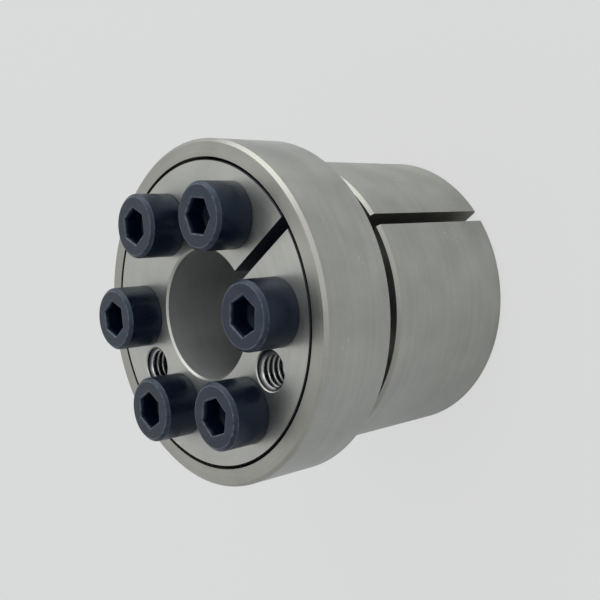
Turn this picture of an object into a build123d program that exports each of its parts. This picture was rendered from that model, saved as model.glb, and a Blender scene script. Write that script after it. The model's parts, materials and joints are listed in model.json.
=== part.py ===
"""Keyless locking assembly: a slit inner ring, a slit outer sleeve, a spacer ring and six screws.

The set stands on the rear face of its outer sleeve, with its axis along Z and its screws on top.
The origin is the centre of that rear face, and screw 1 lies on the +X side.
"""
from math import cos, radians, sin, tan
import os

from build123d import *

os.makedirs("parts", exist_ok=True)

# ---------------------------------------------------------------- driving dimensions, mm and degrees

# What the set joins
shaft_d = 20.0
hub_bore_d = 47.0

# Lengths along the axis, from the sleeve's rear face forwards
sleeve_length = 26.0
sleeve_gap = 5.0  # free space in front of the sleeve, which the screws draw in
shoulder_length = 5.0
disc_thickness = 8.0
tail_setback = 1.5  # the inner ring ends this far inside the sleeve

# Inner ring
neck_wall = 2.6
cone_lead = 2.0  # the cone starts this far in front of the sleeve
cone_half_angle = 3.0
disc_step = 0.1  # the disc's rim lies this far inside the hub's bore
hole_web = 0.6  # metal between the neck and a clearance hole

# Spacer ring
stop_width = 3.0  # how far the ring stands out past the hub's bore
stop_edge_chamfer = 0.4

# Slits, cut through one side of the inner ring and of the sleeve
slit_width = 2.0
slit_angle = 31.5

# Socket head cap screws, M6 x 30
thread_d = 6.0
screw_length = 30.0
head_d = 10.0
head_height = 6.0
head_rim_chamfer = 0.5
key_width = 5.0
socket_depth = 3.0
socket_cone_angle = 120.0
socket_ledge = 0.06  # the drilled pilot is this much smaller than the hexagon
tip_chamfer = 0.6
screw_count = 6
socket_turns = (22.0, 51.0, 32.0, 33.0, 26.0, 14.0)  # how each screw happens to be turned

# Jack holes, tapped for the same screws, which push the sleeve off its cone
jack_count = 3
jack_angle = 90.0

# Broken edges
edge_chamfer = 0.5
fine_chamfer = 0.3
deburr_chamfer = 0.15

# Clearances, each on the radius
taper_clearance = 0.15
recess_clearance = 0.4
thread_clearance = 0.05
hole_clearance = 0.3
shoulder_clearance = 1.0

# ---------------------------------------------------------------- worked out from them

shaft_r = shaft_d / 2
sleeve_r = hub_bore_d / 2
disc_r = sleeve_r - disc_step
recess_r = disc_r + recess_clearance
spacer_r = sleeve_r + stop_width

stop_z = sleeve_length + sleeve_gap
disc_back_z = stop_z + shoulder_length
front_z = disc_back_z + disc_thickness
cone_z = sleeve_length + cone_lead

neck_r = shaft_r + neck_wall
tapped_r = thread_d / 2
shank_r = tapped_r - thread_clearance
clearance_hole_r = tapped_r + hole_clearance
screw_circle_r = neck_r + hole_web + clearance_hole_r
shoulder_r = screw_circle_r + tapped_r + shoulder_clearance

slit_reach = spacer_r


def cone_r(z):
    """Radius of the inner ring's cone at height z."""
    return neck_r - (cone_z - z) * tan(radians(cone_half_angle))


def rings_at(piece, z, radius):
    """The circular edges of a turned piece at one height and one radius."""
    circles = piece.edges().filter_by(GeomType.CIRCLE)
    return circles.filter_by(
        lambda edge: abs(edge.center().Z - z) < 1e-4 and abs(edge.radius - radius) < 1e-4
    )


# ---------------------------------------------------------------- inner ring

with BuildPart() as inner_ring:
    with BuildSketch(Plane.XZ):
        with BuildLine():
            Polyline(
                (shaft_r, tail_setback),
                (cone_r(tail_setback), tail_setback),
                (neck_r, cone_z),
                (neck_r, disc_back_z),
                (disc_r, disc_back_z),
                (disc_r, front_z),
                (shaft_r, front_z),
                close=True,
            )
        make_face()
    revolve(axis=Axis.Z)

    chamfer(rings_at(inner_ring, front_z, disc_r), deburr_chamfer)
    chamfer(rings_at(inner_ring, disc_back_z, disc_r), fine_chamfer)
    chamfer(rings_at(inner_ring, front_z, shaft_r), fine_chamfer)
    chamfer(rings_at(inner_ring, tail_setback, shaft_r), fine_chamfer)
    chamfer(rings_at(inner_ring, tail_setback, cone_r(tail_setback)), fine_chamfer)

    with Locations((0, 0, front_z)):
        # Clearance holes for the locking screws
        with PolarLocations(screw_circle_r, screw_count):
            Hole(clearance_hole_r)
        # Tapped jack holes between them
        with PolarLocations(screw_circle_r, jack_count, start_angle=jack_angle):
            Hole(tapped_r)
    chamfer(rings_at(inner_ring, front_z, tapped_r), deburr_chamfer)
    chamfer(rings_at(inner_ring, disc_back_z, tapped_r), deburr_chamfer)

    with BuildSketch(Plane.XY.rotated((0, 0, slit_angle))):
        Rectangle(slit_reach, slit_width, align=(Align.MIN, Align.CENTER))
    extrude(amount=front_z, mode=Mode.SUBTRACT)

inner_ring.part.label = "inner_ring"
export_step(inner_ring.part, "parts/inner_ring.step")

# ---------------------------------------------------------------- spacer ring

with BuildPart() as spacer_ring:
    with BuildSketch(Plane.XZ):
        with BuildLine():
            Polyline(
                (shoulder_r, stop_z),
                (spacer_r, stop_z),
                (spacer_r, front_z),
                (recess_r, front_z),
                (recess_r, disc_back_z),
                (shoulder_r, disc_back_z),
                close=True,
            )
        make_face()
    revolve(axis=Axis.Z)

    chamfer(rings_at(spacer_ring, front_z, spacer_r), edge_chamfer)
    chamfer(rings_at(spacer_ring, stop_z, spacer_r), stop_edge_chamfer)
    chamfer(rings_at(spacer_ring, stop_z, shoulder_r), fine_chamfer)
    chamfer(rings_at(spacer_ring, disc_back_z, shoulder_r), fine_chamfer)

spacer_ring.part.label = "spacer_ring"
export_step(spacer_ring.part, "parts/spacer_ring.step")

# ---------------------------------------------------------------- outer sleeve

sleeve_front_bore_r = cone_r(sleeve_length) + taper_clearance
sleeve_rear_bore_r = cone_r(0) + taper_clearance

with BuildPart() as outer_sleeve:
    with BuildSketch(Plane.XZ):
        with BuildLine():
            Polyline(
                (sleeve_rear_bore_r, 0),
                (sleeve_r, 0),
                (sleeve_r, sleeve_length),
                (sleeve_front_bore_r, sleeve_length),
                close=True,
            )
        make_face()
    revolve(axis=Axis.Z)

    chamfer(rings_at(outer_sleeve, sleeve_length, sleeve_r), edge_chamfer)
    chamfer(rings_at(outer_sleeve, 0, sleeve_r), edge_chamfer)
    chamfer(rings_at(outer_sleeve, 0, sleeve_rear_bore_r), fine_chamfer)

    # Tapped holes for the locking screws, right through
    with Locations((0, 0, sleeve_length)):
        with PolarLocations(screw_circle_r, screw_count):
            Hole(tapped_r)
    chamfer(rings_at(outer_sleeve, sleeve_length, tapped_r), fine_chamfer)
    chamfer(rings_at(outer_sleeve, 0, tapped_r), fine_chamfer)

    with BuildSketch(Plane.XY.rotated((0, 0, slit_angle))):
        Rectangle(slit_reach, slit_width, align=(Align.MIN, Align.CENTER))
    extrude(amount=sleeve_length, mode=Mode.SUBTRACT)

outer_sleeve.part.label = "outer_sleeve"
export_step(outer_sleeve.part, "parts/outer_sleeve.step")

# ---------------------------------------------------------------- locking screws

pilot_r = key_width / 2 - socket_ledge
socket_floor = head_height - socket_depth
socket_point = socket_floor - pilot_r / tan(radians(socket_cone_angle / 2))


def build_screw(seat, name):
    """Make a cap screw whose head sits on the seat plane, and write it under its name."""
    section = Plane(origin=seat.origin, x_dir=seat.x_dir, z_dir=-seat.y_dir)
    with BuildPart() as screw:
        with BuildSketch(section):
            with BuildLine():
                Polyline(
                    (0, -screw_length),
                    (shank_r - tip_chamfer, -screw_length),
                    (shank_r, -screw_length + tip_chamfer),
                    (shank_r, 0),
                    (head_d / 2, 0),
                    (head_d / 2, head_height),
                    (pilot_r, head_height),
                    (pilot_r, socket_floor),
                    (0, socket_point),
                    close=True,
                )
            make_face()
        revolve(axis=Axis(seat.origin, seat.z_dir))
        chamfer(rings_at(screw, front_z + head_height, head_d / 2), head_rim_chamfer)

        # The hexagon is broached over the drilled pilot
        with BuildSketch(seat.offset(head_height)):
            RegularPolygon(key_width / 2, 6, major_radius=False)
        extrude(amount=-socket_depth, mode=Mode.SUBTRACT)
        mouth = screw.edges().group_by(Axis.Z)[-1].filter_by(GeomType.LINE)
        chamfer(mouth, deburr_chamfer)

    screw.part.label = name
    export_step(screw.part, f"parts/{name}.step")


for index in range(screw_count):
    angle = radians(360 / screw_count * index)
    turn = radians(socket_turns[index % len(socket_turns)])
    build_screw(
        Plane(
            origin=(screw_circle_r * cos(angle), screw_circle_r * sin(angle), front_z),
            x_dir=(cos(turn), sin(turn), 0),
            z_dir=(0, 0, 1),
        ),
        f"locking_screw_{index + 1}",
    )
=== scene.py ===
"""Looks for a keyless locking assembly: satin steel rings, black cap screws and cut threads.

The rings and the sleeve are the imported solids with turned-steel finishes. The cap screws and the
threads in the tapped holes are made here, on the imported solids' axes. Everything is in metres.
"""
import json
from math import cos, pi, radians, sin, tan

import bmesh
import bpy
from bpy.props import FloatProperty, FloatVectorProperty, IntProperty, PointerProperty
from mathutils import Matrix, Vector


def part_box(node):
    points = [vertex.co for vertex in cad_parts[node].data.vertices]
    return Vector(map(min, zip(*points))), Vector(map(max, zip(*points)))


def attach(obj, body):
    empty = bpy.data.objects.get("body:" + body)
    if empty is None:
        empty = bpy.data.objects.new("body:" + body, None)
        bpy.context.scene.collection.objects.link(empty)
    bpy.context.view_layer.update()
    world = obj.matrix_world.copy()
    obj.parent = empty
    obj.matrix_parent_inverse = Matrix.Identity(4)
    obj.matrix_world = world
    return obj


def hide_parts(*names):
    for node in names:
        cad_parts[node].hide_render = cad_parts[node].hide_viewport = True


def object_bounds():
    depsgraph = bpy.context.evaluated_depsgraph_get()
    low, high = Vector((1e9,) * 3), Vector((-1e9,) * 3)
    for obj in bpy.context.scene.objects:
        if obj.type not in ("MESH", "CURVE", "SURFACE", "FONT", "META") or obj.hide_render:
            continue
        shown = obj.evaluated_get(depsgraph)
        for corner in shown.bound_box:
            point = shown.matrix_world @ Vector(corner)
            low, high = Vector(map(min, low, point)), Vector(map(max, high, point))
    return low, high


bl_info = {
    "name": "Locking Assembly",
    "version": (1, 0, 0),
    "blender": (4, 5, 0),
    "location": "View3D > Sidebar > Locking Assembly",
    "description": "Finishes, cap screws and threads for a keyless locking assembly",
    "category": "Object",
}

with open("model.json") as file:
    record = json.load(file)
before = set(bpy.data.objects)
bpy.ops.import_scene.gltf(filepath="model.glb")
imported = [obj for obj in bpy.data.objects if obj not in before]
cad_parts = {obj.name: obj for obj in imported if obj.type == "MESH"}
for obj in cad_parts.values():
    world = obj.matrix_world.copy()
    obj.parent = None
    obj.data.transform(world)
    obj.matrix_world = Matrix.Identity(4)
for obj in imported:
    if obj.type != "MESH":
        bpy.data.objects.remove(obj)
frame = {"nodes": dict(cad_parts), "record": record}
cad_box = [list(corner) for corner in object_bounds()]

MM = 0.001
SCREW_NODES = sorted(name for name in frame["nodes"] if name.startswith("locking_screw"))
MOUNTS = {mount["name"]: mount for mount in frame["record"]["mounts"]}
JACK_HOLES = sorted(name for name in MOUNTS if name.startswith("jack_hole"))
SLEEVE_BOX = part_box("outer_sleeve")
RING_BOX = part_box("inner_ring")
TAPPED_RADIUS = MOUNTS[JACK_HOLES[0]]["dims"]["r_mm"] * MM

THREAD_FLANK = tan(radians(30))  # a metric thread's flank leans 30 degrees from the radius
EXTERNAL_DEPTH = 0.6134  # depth of a screw's thread, in pitches
INTERNAL_DEPTH = 0.5413  # depth of a nut's thread, in pitches
# on a screw this is wear; on a thread it is 1 on the crests and 0 in the roots, which painted shade
# darkens
WEAR_AND_SHADE = "rubbed"  # the mesh attribute that says how worn or bright a place is

# name, direction from the part, distance, width, height and power in watts
LAMPS = (
    ("lamp_face", (-0.73, -0.24, 0.66), 0.9, 0.9, 0.9, 0.25),
    ("lamp_top", (-0.1, 0.90, 0.40), 0.8, 0.8, 0.5, 1.7),
    ("lamp_front", (0.58, 0.38, 0.71), 0.9, 1.0, 0.35, 0.3),
    ("lamp_bore", (0.0, 0.28, 0.96), 0.9, 0.3, 0.2, 0.4),
)


# ---------------------------------------------------------------- what a user can change

class LockScrewSizes(bpy.types.PropertyGroup):
    """Sizes of the cap screws and of the threads they run in."""
    pitch: FloatProperty(
        name="Pitch", description="Rise of the thread in one turn",
        default=1.0 * MM, precision=5, unit="LENGTH")
    head_diameter: FloatProperty(
        name="Head diameter", description="Diameter of the screw's head",
        default=10.0 * MM, precision=5, unit="LENGTH")
    head_height: FloatProperty(
        name="Head height", description="Height of the head above the disc",
        default=6.0 * MM, precision=5, unit="LENGTH")
    rim_chamfer: FloatProperty(
        name="Rim chamfer", description="Chamfer round the head's upper rim",
        default=0.5 * MM, precision=5, unit="LENGTH")
    rim_softness: FloatProperty(
        name="Rim softness", description="Rounding of the rim chamfer's two edges",
        default=0.3 * MM, precision=5, unit="LENGTH")
    foot_chamfer: FloatProperty(
        name="Foot chamfer", description="Broken edge at the foot of the head",
        default=0.12 * MM, precision=5, unit="LENGTH")
    key_width: FloatProperty(
        name="Key width", description="Width of the hexagon socket across its flats",
        default=5.0 * MM, precision=5, unit="LENGTH")
    socket_depth: FloatProperty(
        name="Socket depth", description="Depth of the hexagon socket",
        default=3.0 * MM, precision=5, unit="LENGTH")
    socket_cone: FloatProperty(
        name="Socket cone", description="Angle of the drilled cone at the socket's bottom",
        default=radians(120), unit="ROTATION")
    socket_chamfer: FloatProperty(
        name="Socket chamfer", description="Broken edge at the socket's mouth",
        default=0.15 * MM, precision=5, unit="LENGTH")
    tip_chamfer: FloatProperty(
        name="Tip chamfer", description="Chamfer on the screw's tip",
        default=0.6 * MM, precision=5, unit="LENGTH")
    play: FloatProperty(
        name="Thread play", description="Gap between the screw's thread and its hole, on the radius",
        default=0.05 * MM, precision=5, unit="LENGTH")
    mouth_chamfer: FloatProperty(
        name="Sleeve hole chamfer", description="Chamfer at the mouth of a tapped hole in the sleeve",
        default=0.3 * MM, precision=5, unit="LENGTH")
    jack_chamfer: FloatProperty(
        name="Jack hole chamfer", description="Chamfer at the mouth of a jack hole",
        default=0.15 * MM, precision=5, unit="LENGTH")
    socket_turns: FloatVectorProperty(
        name="Socket turns", description="How far each screw's hexagon is turned",
        size=6, default=[radians(a) for a in (22, 51, 32, 33, 26, 14)], unit="ROTATION")
    facets: IntProperty(
        name="Facets", description="Facets round a screw, a multiple of six",
        default=96, min=24)


class LockFinishes(bpy.types.PropertyGroup):
    """Colours and gloss of the steel and of the blackened screws."""
    steel_colour: FloatVectorProperty(
        name="Steel", description="Colour of the turned steel",
        subtype="COLOR", size=3, min=0, max=1, default=(0.47, 0.475, 0.43))
    ring_colour: FloatVectorProperty(
        name="Inner ring", description="Colour of the inner ring's steel",
        subtype="COLOR", size=3, min=0, max=1, default=(0.58, 0.59, 0.55))
    # painted shade: the flat faces are darker than the sides of the same steel
    painted_face_shade: FloatProperty(
        name="Face shade", description="How bright the turned faces are beside the turned sides",
        default=0.8, min=0, max=1, subtype="FACTOR")
    # painted shade: the broken edges are a little darker, which dims their highlights
    painted_edge_shade: FloatProperty(
        name="Edge shade", description="How bright the broken edges are beside the turned sides",
        default=0.94, min=0, max=1, subtype="FACTOR")
    bore_colour: FloatVectorProperty(
        name="Bore", description="Colour of the inner ring's ground bore",
        subtype="COLOR", size=3, min=0, max=1, default=(0.42, 0.435, 0.43))
    # painted shade on the recessed cut walls of the inner ring's holes and slit
    painted_cut_shade: FloatVectorProperty(
        name="Cut walls", description="Colour of the walls of the inner ring's holes and slit",
        subtype="COLOR", size=3, min=0, max=1, default=(0.10, 0.12, 0.16))
    # painted shade on the inner ring's wall down in the groove round it
    painted_groove_shade: FloatVectorProperty(
        name="Ring groove", description="Colour of the inner ring's wall in the groove round it",
        subtype="COLOR", size=3, min=0, max=1, default=(0.03, 0.033, 0.04))
    crest_colour: FloatVectorProperty(
        name="Thread crests", description="Colour of the tapped threads' crests",
        subtype="COLOR", size=3, min=0, max=1, default=(0.62, 0.63, 0.62))
    # painted shade down in the roots of the tapped threads
    painted_root_shade: FloatVectorProperty(
        name="Thread roots", description="Colour down in the tapped threads",
        subtype="COLOR", size=3, min=0, max=1, default=(0.06, 0.065, 0.075))
    oxide_colour: FloatVectorProperty(
        name="Black oxide", description="Colour of the blackened screws",
        subtype="COLOR", size=3, min=0, max=1, default=(0.001, 0.004, 0.016))
    worn_colour: FloatVectorProperty(
        name="Worn oxide", description="Colour where the black is rubbed thin",
        subtype="COLOR", size=3, min=0, max=1, default=(0.20, 0.23, 0.27))
    steel_roughness: FloatProperty(
        name="Steel roughness", description="How dull the turned steel is",
        default=0.40, min=0, max=1, subtype="FACTOR")
    face_roughness: FloatProperty(
        name="Face roughness", description="How dull the turned faces are",
        default=0.36, min=0, max=1, subtype="FACTOR")
    bore_roughness: FloatProperty(
        name="Bore roughness", description="How dull the ground bore is",
        default=0.55, min=0, max=1, subtype="FACTOR")
    oxide_roughness: FloatProperty(
        name="Oxide roughness", description="How dull the blackened screws are",
        default=0.35, min=0, max=1, subtype="FACTOR")
    mark_spacing: FloatProperty(
        name="Mark spacing", description="Spacing of the fine turning marks",
        default=0.12 * MM, precision=5, unit="LENGTH")
    mark_depth: FloatProperty(
        name="Mark depth", description="Depth of the fine turning marks",
        default=0.002 * MM, precision=6, unit="LENGTH")


class LockStage(bpy.types.PropertyGroup):
    """Floor, lamps, world and camera."""
    floor_colour: FloatVectorProperty(
        name="Floor", description="Colour of the floor",
        subtype="COLOR", size=3, min=0, max=1, default=(0.725, 0.725, 0.725))
    floor_evenness: FloatProperty(
        name="Floor evenness", description="How much of the floor's light and shade is evened out",
        default=0.85, min=0, max=1, subtype="FACTOR")
    mirrored_evenness: FloatProperty(
        name="Mirrored evenness", description="How much of it is evened out in what the metal mirrors",
        default=0.1, min=0, max=1, subtype="FACTOR")
    floor_radius: FloatProperty(
        name="Floor radius", description="Radius of the round floor",
        default=3.0, unit="LENGTH")
    side_shade: FloatProperty(
        name="Side shade",
        description="How much paler the +Y side looks in the metal, and how much darker the -Y side",
        default=0.4, min=0, max=1, subtype="FACTOR")
    world_strength: FloatProperty(
        name="World", description="Strength of the even light from all round", default=0.65, min=0)
    lamp_strength: FloatProperty(
        name="Lamps", description="Multiplies the power of all the lamps", default=1.0, min=0)
    camera_place: FloatVectorProperty(
        name="Camera", description="Where the camera stands",
        subtype="TRANSLATION", size=3, precision=5, default=(0.11086, 0.00584, 0.12570))
    camera_turn: FloatVectorProperty(
        name="Camera turn", description="How the camera is turned",
        subtype="EULER", size=3, default=[radians(a) for a in (-6.90, 47.14, -6.63)])
    camera_angle: FloatProperty(
        name="Field of view", description="The camera's field of view",
        default=radians(36.92), unit="ROTATION")


# ---------------------------------------------------------------- meshes

def mesh_object(name, points, faces, wear_and_shade):
    """A closed mesh object from points, faces and each point's wear (screws) and painted shade (threads),
    with doubled points joined.
    """
    doubled = 1e-7
    sharp_above = radians(35)
    mesh = bpy.data.meshes.new(name)
    mesh.from_pydata(points, [], faces)
    work = bmesh.new()
    work.from_mesh(mesh)
    rubbed = work.verts.layers.float.new(WEAR_AND_SHADE)
    for point, wear_and_shade_share in zip(work.verts, wear_and_shade):
        point[rubbed] = wear_and_shade_share
    bmesh.ops.remove_doubles(work, verts=work.verts, dist=doubled)
    bmesh.ops.recalc_face_normals(work, faces=work.faces)
    for face in work.faces:
        face.smooth = True
    work.to_mesh(mesh)
    work.free()
    mesh.set_sharp_from_angle(angle=sharp_above)
    piece = bpy.data.objects.new(name, mesh)
    bpy.context.scene.collection.objects.link(piece)
    return piece


def polar(centre, radius, angle, height):
    """A point round an upright axis."""
    return (centre[0] + radius * cos(angle), centre[1] + radius * sin(angle), height)


def rim_profile(chamfer, softness):
    """A chamfer with rounded edges, from its inner edge out.

    Each point is its distance inwards from the side, its drop from the top and its wear.
    """
    tangent = softness * tan(pi / 8)
    bend = [(softness * (1 - cos(lean)), chamfer + tangent - softness * sin(lean))
            for lean in (0, pi / 12, pi / 6, pi / 4)]
    inner_wear = (0.1, 0.5, 0.5, 0.1)
    outer_wear = (0.05, 0.3, 0.3, 0.05)
    inner = [(along, across, wear_and_shade_share) for (across, along), wear_and_shade_share in zip(bend, inner_wear)]
    outer = [(across, along, wear_and_shade_share) for (across, along), wear_and_shade_share in zip(reversed(bend), outer_wear)]
    return inner + outer


def screw_head_rows(sizes, seat, count, neck_radius):
    """The tip of the socket's cone, and the rings from there out and down to the neck.

    A ring is its (radius, height) pairs and its wear. The first pair is on a corner of the hexagon.
    """
    top = seat + sizes.head_height
    floor = top - sizes.socket_depth
    half_key = sizes.key_width / 2
    pilot = half_key - 0.06 * MM  # the hole drilled before the socket is broached
    head_radius = sizes.head_diameter / 2
    edge_band = 0.04 * MM  # keeps the shading of the soft rim off the flat faces
    wear_band = 0.15 * MM  # keeps the wear of an edge near it

    def ring(radius, height):
        return [(radius, height)] * count

    def hexagon(half_width, height):
        sector = radians(60)
        leans = (2 * pi * i / count % sector - sector / 2 for i in range(count))
        return [(half_width / cos(lean), height) for lean in leans]

    chamfer = sizes.socket_chamfer
    rows = [
        (ring(pilot, floor), 0.0),
        (hexagon(half_key, floor), 0.0),
        (hexagon(half_key, top - chamfer - 4 * wear_band), 0.0),  # the wear fades out down to here
        (hexagon(half_key, top - chamfer), 0.3),
        (hexagon(half_key + chamfer, top), 0.5),
        (hexagon(half_key + chamfer + wear_band, top), 0.0),
    ]
    rim = rim_profile(sizes.rim_chamfer, sizes.rim_softness)
    rows.append((ring(head_radius - rim[0][0] - edge_band, top), 0.0))
    rows += [(ring(head_radius - inward, top - drop), wear_and_shade_share) for inward, drop, wear_and_shade_share in rim]
    rows.append((ring(head_radius, top - rim[-1][1] - edge_band), 0.0))
    rows.append((ring(head_radius, seat + sizes.foot_chamfer), 0.0))
    rows.append((ring(head_radius - sizes.foot_chamfer, seat), 0.0))
    rows.append((ring(neck_radius, seat), 0.0))
    return floor - pilot / tan(sizes.socket_cone / 2), rows


def smoothstep(t):
    """From 0 to 1 with a soft start and end."""
    t = min(max(t, 0.0), 1.0)
    return t * t * (3 - 2 * t)


def cap_screw(name, sizes, centre, tip, seat, turn):
    """One cap screw as a single closed skin: socket, head, thread and tip."""
    count = sizes.facets
    pitch = sizes.pitch
    crest = TAPPED_RADIUS - sizes.play
    root = crest - EXTERNAL_DEPTH * pitch + sizes.play
    runout = 1.2 * pitch
    spare_turns = 3  # past both ends, so that the ends are whole
    angles = [turn + 2 * pi * i / count for i in range(count)]
    points, faces, wear_and_shade = [], [], []

    def add(point, wear_and_shade_share=0.0):
        points.append(point)
        wear_and_shade.append(wear_and_shade_share)
        return len(points) - 1

    # socket and head, ring by ring
    bottom, rows = screw_head_rows(sizes, seat, count, crest)
    rings = [
        [add(polar(centre, radius, angle, height), wear_and_shade_share) for angle, (radius, height) in zip(angles, row)]
        for row, wear_and_shade_share in rows
    ]
    pole = add((*centre, bottom))
    for i in range(count):
        j = (i + 1) % count
        faces.append((pole, rings[0][j], rings[0][i]))
        for inner, outer in zip(rings, rings[1:]):
            faces.append((inner[i], inner[j], outer[j], outer[i]))

    # thread: columns along the shank, one for each angle, whose points rise with the helix
    crest_half = 1 / 16
    flank = (crest - root) / pitch * THREAD_FLANK
    profile = (
        (-crest_half, crest), (crest_half, crest),
        (crest_half + flank, root), (1 - crest_half - flank, root),
    )
    per_turn = len(profile)
    first = int(tip / pitch) - spare_turns
    last = int(seat / pitch) + spare_turns
    tip_radius = crest - sizes.tip_chamfer

    def thread_point(i, j):
        share, radius = profile[j % per_turn]
        height = (first + j // per_turn + share + angles[i] / (2 * pi)) * pitch
        height = min(max(height, tip), seat)
        radius = min(radius, tip_radius + height - tip)
        radius += (crest - radius) * smoothstep((height - seat + runout) / runout)
        return polar(centre, radius, angles[i], height)

    total = (last - first) * per_turn
    grid = [[add(thread_point(i, j)) for j in range(total)] for i in range(count)]
    for i in range(count):
        for j in range(total - 1):
            if i + 1 < count:
                across = (grid[i + 1][j], grid[i + 1][j + 1])
            else:
                across = tuple(grid[0][min(k + per_turn, total - 1)] for k in (j, j + 1))
            faces.append((grid[i][j], across[0], across[1], grid[i][j + 1]))

    end = add((*centre, tip))
    for i in range(count):
        faces.append((end, grid[(i + 1) % count][0], grid[i][0]))
    return mesh_object(name, points, faces, wear_and_shade)


def hole_thread(name, sizes, centre, bottom, top, chamfer):
    """The thread in a tapped hole: a closed helical ridge, cut back to the chamfers at both mouths."""
    facets = sizes.facets // 2
    pitch = sizes.pitch
    crest = TAPPED_RADIUS - INTERNAL_DEPTH * pitch
    base = TAPPED_RADIUS + 0.04 * MM  # the ridge's foot lies in the hole's wall
    crest_half = 1 / 8
    base_half = crest_half + (base - crest) / pitch * THREAD_FLANK
    section = (
        (0.5 - base_half, base), (0.5 - crest_half, crest),
        (0.5 + crest_half, crest), (0.5 + base_half, base),
    )
    low = bottom + chamfer
    high = top - chamfer
    # from below one mouth to above the other, and what is outside is pressed flat onto the mouth
    first = int((low / pitch - 1.5) * facets)
    last = int((high / pitch + 0.5) * facets)
    points, faces, wear_and_shade = [], [], []
    for step in range(first, last + 1):
        for share, radius in section:
            height = (step / facets + share) * pitch
            height = min(max(height, low), high)
            cut_back = TAPPED_RADIUS - min(height - low, high - height)
            if radius < base:
                radius = max(radius, cut_back)
            points.append(polar(centre, radius, 2 * pi * step / facets, height))
            # painted shade: 1 on the crest and 0 at the ridge's foot, by which the thread's finish darkens
            # the roots
            wear_and_shade.append((base - radius) / (base - crest))
    corners = len(section)
    steps = len(points) // corners
    for step in range(steps - 1):
        here, there = step * corners, (step + 1) * corners
        for k in range(corners):
            n = (k + 1) % corners
            faces.append((here + k, there + k, there + n, here + n))
    faces.append(tuple(range(corners)))
    faces.append(tuple(reversed(range((steps - 1) * corners, steps * corners))))
    return mesh_object(name, points, faces, wear_and_shade)


# ---------------------------------------------------------------- finishes

class Nodes:
    """A node tree, built up a node at a time."""

    def __init__(self, tree):
        self.tree = tree
        tree.nodes.clear()

    def node(self, kind, **settings):
        made = self.tree.nodes.new(kind)
        for key, value in settings.items():
            setattr(made, key, value)
        return made

    def feed(self, socket, value):
        """Link a node's output to the socket, or set the socket to a plain value."""
        if isinstance(value, bpy.types.NodeSocket):
            self.tree.links.new(value, socket)
        else:
            socket.default_value = value

    def math(self, operation, *values, clamp=False):
        made = self.node("ShaderNodeMath", operation=operation, use_clamp=clamp)
        for socket, value in zip(made.inputs, values):
            self.feed(socket, value)
        return made.outputs[0]

    def plus(self, first, second, clamp=False):
        return self.math("ADD", first, second, clamp=clamp)

    def times(self, first, second):
        return self.math("MULTIPLY", first, second)

    def combine(self, x, y, z):
        made = self.node("ShaderNodeCombineXYZ")
        for socket, value in zip(made.inputs, (x, y, z)):
            self.feed(socket, value)
        return made.outputs[0]

    def split(self, vector):
        """The vector's x, y and z."""
        made = self.node("ShaderNodeSeparateXYZ")
        self.feed(made.inputs[0], vector)
        return tuple(made.outputs)

    def noise(self, vector, scale, detail=3.0, roughness=0.5):
        """A noise with so many waves a metre."""
        made = self.node("ShaderNodeTexNoise")
        self.feed(made.inputs["Vector"], vector)
        made.inputs["Scale"].default_value = scale
        made.inputs["Detail"].default_value = detail
        made.inputs["Roughness"].default_value = roughness
        return made.outputs["Fac"]

    def ramp(self, value, low, high, to_low=0.0, to_high=1.0):
        """The value, with low to high stretched to to_low to to_high and held there beyond."""
        made = self.node("ShaderNodeMapRange")
        for socket, entry in zip(made.inputs, (value, low, high, to_low, to_high)):
            self.feed(socket, entry)
        return made.outputs[0]

    def vary(self, noise, to_low, to_high):
        """Spread a noise between two values. Nearly all of a noise lies between 0.3 and 0.7."""
        return self.ramp(noise, 0.3, 0.7, to_low, to_high)

    def choose(self, share, without, with_it):
        """One value where the share is 0, another where it is 1."""
        return self.ramp(share, 0.0, 1.0, without, with_it)

    def mix(self, share, first, second, blend_type="MIX"):
        """The first colour where the share is 0, mixed with the second where it is 1."""
        made = self.node("ShaderNodeMix", data_type="RGBA", blend_type=blend_type)
        self.feed(made.inputs["Factor"], share)
        self.feed(made.inputs["A"], first)
        self.feed(made.inputs["B"], second)
        return made.outputs["Result"]

    def bump(self, height, distance, normal=None):
        made = self.node("ShaderNodeBump")
        made.inputs["Strength"].default_value = 1.0
        made.inputs["Distance"].default_value = distance
        self.feed(made.inputs["Height"], height)
        if normal is not None:
            self.feed(made.inputs["Normal"], normal)
        return made.outputs["Normal"]

    def blend(self, share, first, second):
        """The first shader where the share is 0, the second where it is 1."""
        made = self.node("ShaderNodeMixShader")
        for socket, entry in zip(made.inputs, (share, first, second)):
            self.feed(socket, entry)
        return made.outputs[0]


class Finish(Nodes):
    """A node material and its shader."""

    def __init__(self, name):
        self.material = bpy.data.materials.get(name) or bpy.data.materials.new(name)
        self.material.use_nodes = True
        super().__init__(self.material.node_tree)
        self.shader = self.node("ShaderNodeBsdfPrincipled")
        self.surface = self.node("ShaderNodeOutputMaterial").inputs["Surface"]
        self.feed(self.surface, self.shader.outputs["BSDF"])


def handling_scratches(look, place):
    """Short scratches, where one stretched noise is at its middle and another peaks."""
    skewed = look.node("ShaderNodeMapping")
    look.feed(skewed.inputs["Vector"], place)
    skewed.inputs["Rotation"].default_value = (0.6, 0.35, 0.8)
    skewed.inputs["Scale"].default_value = (1.0, 14.0, 14.0)
    off_middle = look.math("SUBTRACT", look.noise(skewed.outputs[0], 45.0, detail=1.0), 0.5)
    lines = look.ramp(look.math("ABSOLUTE", off_middle), 0.006, 0.0)
    places = look.ramp(look.noise(place, 260.0, detail=1.0), 0.60, 0.66)
    return look.times(lines, places)


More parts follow.
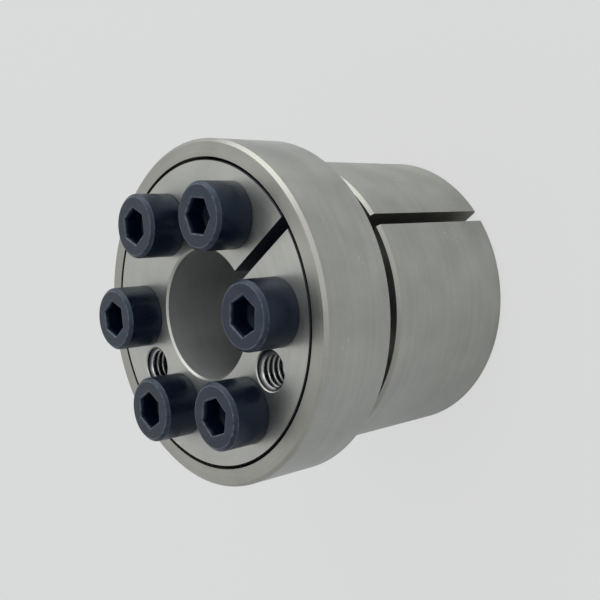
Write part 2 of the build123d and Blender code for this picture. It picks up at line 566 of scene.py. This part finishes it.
def turned_steel(name, colour, finishes, bore=False):
    """Satin turned steel: marks run round the axis, on the faces as well as on the sides.

    With bore, the shaft's bore is ground, and the cut walls of the holes, the slit and the groove
    round the ring are darkened with painted shade.
    """
    look = Finish(name)
    coordinates = look.node("ShaderNodeTexCoord").outputs
    place = coordinates["Object"]
    x, y, z = look.split(place)
    lean = look.math("ABSOLUTE", look.split(coordinates["Normal"])[2])
    on_face = look.math("GREATER_THAN", lean, 0.5)  # the flat faces and the broken edges round them
    flat = look.math("GREATER_THAN", lean, 0.9)
    off_face = look.math("SUBTRACT", 1.0, on_face)
    broken_edge = look.math("SUBTRACT", on_face, flat)
    radius = look.math("SQRT", look.plus(look.times(x, x), look.times(y, y)))
    across = look.plus(look.times(radius, on_face), look.times(z, off_face))

    def marks(along_scale, across_scale, detail, roughness=0.5):
        """A noise that is long round the axis and fine across it."""
        stretched = look.combine(look.times(x, along_scale), look.times(y, along_scale),
                                 look.times(across, across_scale))
        return look.noise(stretched, 1.0, detail, roughness)

    fine_scale = 1.0 / finishes.mark_spacing
    fine_marks = marks(60.0, fine_scale, detail=4.0, roughness=0.6)
    bands = marks(25.0, fine_scale / 7, detail=2.0)
    cloud = look.noise(place, 140.0, detail=5.0)
    scratches = handling_scratches(look, place)

    # the tone multiplies the colour
    tone = look.plus(look.vary(cloud, 0.89, 1.07), look.vary(fine_marks, -0.05, 0.05))
    tone = look.plus(tone, look.vary(bands, -0.03, 0.03))
    tone = look.plus(tone, look.times(scratches, 0.35))
    # painted shade: the flat faces are darkened beside the sides, and the broken edges a little, dimming
    # their highlights
    tone = look.times(tone, look.choose(flat, 1.0, finishes.painted_face_shade))
    tone = look.times(tone, look.choose(broken_edge, 1.0, finishes.painted_edge_shade))
    shade = (*colour, 1.0)
    dullness = look.plus(look.vary(cloud, -0.04, 0.05), look.vary(fine_marks, -0.04, 0.04))
    dullness = look.plus(dullness, look.choose(on_face, finishes.steel_roughness, finishes.face_roughness))
    dullness = look.plus(dullness, look.times(broken_edge, 0.05), clamp=True)

    if bore:
        # a wall is picked out by its radius, with some to spare for the facets and the edge breaks
        bore_radius = MOUNTS["shaft_bore"]["dims"]["r_mm"] * MM
        in_bore = look.times(off_face, look.math("LESS_THAN", radius, bore_radius + 0.1 * MM))
        groove_wall = look.math("GREATER_THAN", radius, RING_BOX[1].x - 0.16 * MM)
        cut_wall = look.math("MAXIMUM", off_face, groove_wall)
        # painted shade: the cut walls of the holes and the slit are darkened, the wall in the groove
        # darker still
        shade = look.mix(cut_wall, shade, (*finishes.painted_cut_shade, 1.0))
        shade = look.mix(groove_wall, shade, (*finishes.painted_groove_shade, 1.0))
        shade = look.mix(in_bore, shade, (*finishes.bore_colour, 1.0))
        bore_dullness = look.plus(look.vary(fine_marks, -0.02, 0.02), finishes.bore_roughness)
        dullness = look.choose(in_bore, dullness, bore_dullness)

    shade = look.mix(1.0, shade, look.combine(tone, tone, tone), blend_type="MULTIPLY")
    look.feed(look.shader.inputs["Base Color"], shade)
    look.feed(look.shader.inputs["Roughness"], dullness)
    look.shader.inputs["Metallic"].default_value = 1.0

    # light spreads across the marks, so along the axis on the sides and outwards on the faces
    look.shader.inputs["Anisotropic"].default_value = 0.6
    look.shader.inputs["Anisotropic Rotation"].default_value = 0.25
    round_axis = look.node("ShaderNodeTangent", direction_type="RADIAL", axis="Z")
    look.feed(look.shader.inputs["Tangent"], round_axis.outputs[0])
    relief = look.bump(fine_marks, finishes.mark_depth)
    relief = look.bump(scratches, -0.5 * finishes.mark_depth, relief)
    look.feed(look.shader.inputs["Normal"], relief)
    return look.material


def black_oxide(name, finishes):
    """Blackened steel with an oily blue tint, rubbed lighter on its edges and a little on its tops."""
    look = Finish(name)
    coordinates = look.node("ShaderNodeTexCoord").outputs
    place = coordinates["Object"]
    cloud = look.noise(place, 420.0, detail=4.0)
    blotches = look.noise(place, 1300.0, detail=2.0)
    grain = look.noise(place, 6000.0, detail=3.0)
    rubbed = look.node("ShaderNodeAttribute", attribute_name=WEAR_AND_SHADE).outputs["Fac"]
    on_top = look.ramp(look.split(coordinates["Normal"])[2], 0.2, 0.8)

    share = look.times(rubbed, look.vary(blotches, 0.2, 1.1))
    handled = look.times(look.ramp(cloud, 0.45, 0.75, 0.0, 0.06), on_top)
    share = look.plus(share, handled, clamp=True)
    shade = look.mix(share, (*finishes.oxide_colour, 1.0), (*finishes.worn_colour, 1.0))
    dullness = look.plus(look.vary(cloud, -0.06, 0.07), look.vary(blotches, -0.06, 0.06))
    dullness = look.plus(dullness, finishes.oxide_roughness)
    look.feed(look.shader.inputs["Base Color"], shade)
    look.feed(look.shader.inputs["Roughness"], dullness)
    look.shader.inputs["Metallic"].default_value = 0.0
    look.shader.inputs["IOR"].default_value = 1.53
    look.shader.inputs["Specular Tint"].default_value = (0.66, 0.84, 1.0, 1.0)
    look.feed(look.shader.inputs["Normal"], look.bump(grain, 0.002 * MM))
    return look.material


def cut_thread(name, finishes):
    """A tapped thread: bright on its crests, and darkened by painted shade down in its roots."""
    look = Finish(name)
    place = look.node("ShaderNodeTexCoord").outputs["Object"]
    cloud = look.noise(place, 700.0, detail=3.0)
    chatter = look.noise(place, 5000.0, detail=2.0)
    bright = look.node("ShaderNodeAttribute", attribute_name=WEAR_AND_SHADE).outputs["Fac"]
    # painted shade: the roots are darkened from the crests' colour towards the root colour
    share = look.times(look.ramp(bright, 0.35, 1.0), look.vary(cloud, 0.8, 1.1))
    shade = look.mix(share, (*finishes.painted_root_shade, 1.0), (*finishes.crest_colour, 1.0))
    look.feed(look.shader.inputs["Base Color"], shade)
    look.feed(look.shader.inputs["Roughness"], look.vary(cloud, 0.26, 0.36))
    look.shader.inputs["Metallic"].default_value = 1.0
    look.feed(look.shader.inputs["Normal"], look.bump(chatter, 0.003 * MM))
    return look.material


def floor_finish(stage):
    """A plain pale floor under a light shadow. Seen directly or in the metal it is partly evened out."""
    look = Finish("pale_floor")
    look.shader.inputs["Base Color"].default_value = (*stage.floor_colour, 1.0)
    look.shader.inputs["Roughness"].default_value = 1.0
    look.shader.inputs["Specular IOR Level"].default_value = 0.0
    ray = look.node("ShaderNodeLightPath").outputs
    mirrored = look.math("MAXIMUM", ray["Is Glossy Ray"], ray["Is Transmission Ray"])
    mirrored = look.times(mirrored, stage.mirrored_evenness)
    seen = look.times(ray["Is Camera Ray"], stage.floor_evenness)
    plain = look.node("ShaderNodeEmission")
    plain.inputs["Color"].default_value = (*stage.floor_colour, 1.0)
    evenness = look.math("MAXIMUM", seen, mirrored)
    look.feed(look.surface, look.blend(evenness, look.shader.outputs["BSDF"], plain.outputs[0]))
    return look.material


def backdrop(world, stage):
    """An even cool light from all round, which looks as pale as the floor.

    In the metal it is paler towards +Y and darker towards -Y, as beside a window.
    """
    world.use_nodes = True
    look = Nodes(world.node_tree)
    ray = look.node("ShaderNodeLightPath").outputs
    mirrored = look.math("MAXIMUM", ray["Is Glossy Ray"], ray["Is Transmission Ray"])
    seen = look.math("MAXIMUM", ray["Is Camera Ray"], mirrored)
    sideways = look.split(look.node("ShaderNodeTexCoord").outputs["Generated"])[1]
    side = look.ramp(sideways, -1.0, 1.0, 1.0 - stage.side_shade, 1.0 + stage.side_shade)

    light = look.node("ShaderNodeBackground")
    light.inputs["Color"].default_value = (0.90, 0.95, 1.0, 1.0)
    light.inputs["Strength"].default_value = stage.world_strength
    pale = look.node("ShaderNodeBackground")
    pale.inputs["Color"].default_value = (*stage.floor_colour, 1.0)
    look.feed(pale.inputs["Strength"], look.choose(mirrored, 1.0, side))
    surface = look.node("ShaderNodeOutputWorld").inputs["Surface"]
    look.feed(surface, look.blend(seen, light.outputs[0], pale.outputs[0]))


def dress(piece, material):
    """Give a piece its material."""
    piece.data.materials.clear()
    piece.data.materials.append(material)


def screw_axis(node):
    """The x and y of a screw's axis, from the middle of its box."""
    low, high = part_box(node)
    return ((low.x + high.x) / 2, (low.y + high.y) / 2)


# ---------------------------------------------------------------- stage

def lay_floor(scene, stage):
    """A round floor under the part."""
    work = bmesh.new()
    bmesh.ops.create_circle(work, cap_ends=True, segments=64, radius=stage.floor_radius)
    mesh = bpy.data.meshes.new("floor")
    work.to_mesh(mesh)
    work.free()
    floor = bpy.data.objects.new("floor", mesh)
    scene.collection.objects.link(floor)
    floor.data.materials.append(floor_finish(stage))


def hang_lamps(scene, stage):
    """Soft lamps that face the middle of the part."""
    aim = Vector((0, 0, (cad_box[0][2] + cad_box[1][2]) / 2))
    for name, direction, distance, width, height, power in LAMPS:
        data = bpy.data.lights.new(name, "AREA")
        data.shape = "RECTANGLE"
        data.size, data.size_y = width, height
        data.energy = power * stage.lamp_strength
        lamp = bpy.data.objects.new(name, data)
        scene.collection.objects.link(lamp)
        away = Vector(direction).normalized()
        lamp.location = aim + away * distance
        lamp.rotation_euler = away.to_track_quat("Z", "Y").to_euler()


def set_camera(scene, stage):
    """The camera, as the stage's settings place it."""
    data = bpy.data.cameras.new("camera")
    data.sensor_fit = "HORIZONTAL"
    data.angle = stage.camera_angle
    data.clip_start = 0.01
    camera = bpy.data.objects.new("camera", data)
    camera.location = stage.camera_place
    camera.rotation_euler = stage.camera_turn
    scene.collection.objects.link(camera)
    scene.camera = camera


# ---------------------------------------------------------------- operators

class LOCK_OT_steel(bpy.types.Operator):
    """Give the rings and the sleeve their turned-steel finishes"""
    bl_idname = "lock.steel"
    bl_label = "Finish the steel rings"

    def execute(self, context):
        finishes = context.scene.lock_finishes
        steel = turned_steel("turned_steel", finishes.steel_colour, finishes)
        ring_steel = turned_steel("faced_steel", finishes.ring_colour, finishes, bore=True)
        for node, material in (
            ("inner_ring", ring_steel), ("spacer_ring", steel), ("outer_sleeve", steel),
        ):
            for slot in frame["nodes"][node].material_slots:
                slot.material = material
        return {"FINISHED"}


class LOCK_OT_screws(bpy.types.Operator):
    """Make the six blackened cap screws with their sockets and threads"""
    bl_idname = "lock.screws"
    bl_label = "Make the cap screws"

    def execute(self, context):
        sizes = context.scene.lock_screws
        oxide = black_oxide("black_oxide", context.scene.lock_finishes)
        for number, node in enumerate(SCREW_NODES):
            low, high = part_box(node)
            piece = cap_screw(
                f"cap_screw_{number + 1}", sizes, screw_axis(node), low.z, high.z - sizes.head_height,
                sizes.socket_turns[number],
            )
            dress(piece, oxide)
            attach(piece, f"screw_{number + 1}")
            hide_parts(node)
        return {"FINISHED"}


class LOCK_OT_jack_threads(bpy.types.Operator):
    """Cut the threads in the inner ring's jack holes"""
    bl_idname = "lock.jack_threads"
    bl_label = "Cut the jack holes' threads"

    def execute(self, context):
        sizes = context.scene.lock_screws
        thread_steel = cut_thread("cut_thread", context.scene.lock_finishes)
        top = RING_BOX[1].z
        for name in JACK_HOLES:
            place = MOUNTS[name]["pos_m"]
            depth = 2 * (top - place[2])  # the mount is halfway down the hole
            piece = hole_thread(
                name.replace("hole", "thread"), sizes, place[:2], top - depth, top, sizes.jack_chamfer,
            )
            dress(piece, thread_steel)
            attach(piece, "clamping_rings")
        return {"FINISHED"}


class LOCK_OT_sleeve_threads(bpy.types.Operator):
    """Cut the threads in the sleeve's holes, in step with the screws"""
    bl_idname = "lock.sleeve_threads"
    bl_label = "Cut the sleeve's threads"

    def execute(self, context):
        sizes = context.scene.lock_screws
        thread_steel = cut_thread("cut_thread", context.scene.lock_finishes)
        for number, node in enumerate(SCREW_NODES):
            piece = hole_thread(
                f"sleeve_thread_{number + 1}", sizes, screw_axis(node), SLEEVE_BOX[0].z, SLEEVE_BOX[1].z,
                sizes.mouth_chamfer,
            )
            dress(piece, thread_steel)
            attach(piece, "sleeve")
        return {"FINISHED"}


class LOCK_OT_stage(bpy.types.Operator):
    """Set the floor, the lamps, the world and the camera"""
    bl_idname = "lock.stage"
    bl_label = "Set the stage"

    def execute(self, context):
        scene = context.scene
        stage = scene.lock_stage
        scene.view_settings.view_transform = "Standard"
        lay_floor(scene, stage)
        hang_lamps(scene, stage)
        scene.world = bpy.data.worlds.new("soft_world")
        backdrop(scene.world, stage)
        set_camera(scene, stage)
        return {"FINISHED"}


OPERATORS = (
    LOCK_OT_steel, LOCK_OT_screws, LOCK_OT_jack_threads, LOCK_OT_sleeve_threads, LOCK_OT_stage,
)


class LOCK_PT_panel(bpy.types.Panel):
    """Sizes, finishes and steps of the locking assembly"""
    bl_label = "Locking Assembly"
    bl_idname = "LOCK_PT_panel"
    bl_space_type = "VIEW_3D"
    bl_region_type = "UI"
    bl_category = "Locking Assembly"

    def draw(self, context):
        for group in GROUPS:
            box = self.layout.box()
            settings = getattr(context.scene, GROUPS[group])
            for name in group.__annotations__:
                box.prop(settings, name)
        for operator in OPERATORS:
            self.layout.operator(operator.bl_idname)


GROUPS = {LockScrewSizes: "lock_screws", LockFinishes: "lock_finishes", LockStage: "lock_stage"}
CLASSES = (*GROUPS, *OPERATORS, LOCK_PT_panel)


def register():
    for cls in CLASSES:
        bpy.utils.register_class(cls)
    for group, name in GROUPS.items():
        setattr(bpy.types.Scene, name, PointerProperty(type=group))


def unregister():
    for name in GROUPS.values():
        delattr(bpy.types.Scene, name)
    for cls in reversed(CLASSES):
        bpy.utils.unregister_class(cls)


def main():
    """Make everything in order."""
    register()
    bpy.ops.lock.steel()
    bpy.ops.lock.screws()
    bpy.ops.lock.jack_threads()
    bpy.ops.lock.sleeve_threads()
    bpy.ops.lock.stage()


if __name__ == "__main__":
    main()
